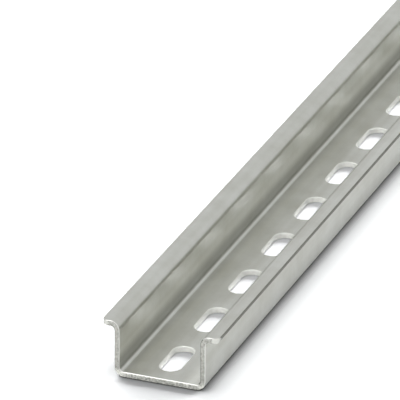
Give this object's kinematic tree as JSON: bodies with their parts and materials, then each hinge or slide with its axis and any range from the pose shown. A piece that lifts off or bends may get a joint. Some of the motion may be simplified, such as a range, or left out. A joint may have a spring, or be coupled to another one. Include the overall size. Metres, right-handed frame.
{
  "type": "din rail",
  "caption": "Top-hat mounting rail of galvanised steel: a U channel with two outward flanges and a row of round-ended slots along its base.",
  "frame": {"origin": "on the back face, midway along and across the rail, which is the bottom centre of its box", "axes": "+X across the rail, +Y along it, +Z from the back face up to the flanges"},
  "size_m": [0.035, 1, 0.015],
  "materials": {
    "galvanised_steel": "zinc-plated and clear-passivated, satin"
  },
  "bodies": {
    "root": {"rail": "galvanised_steel"}
  },
  "joints": []
}
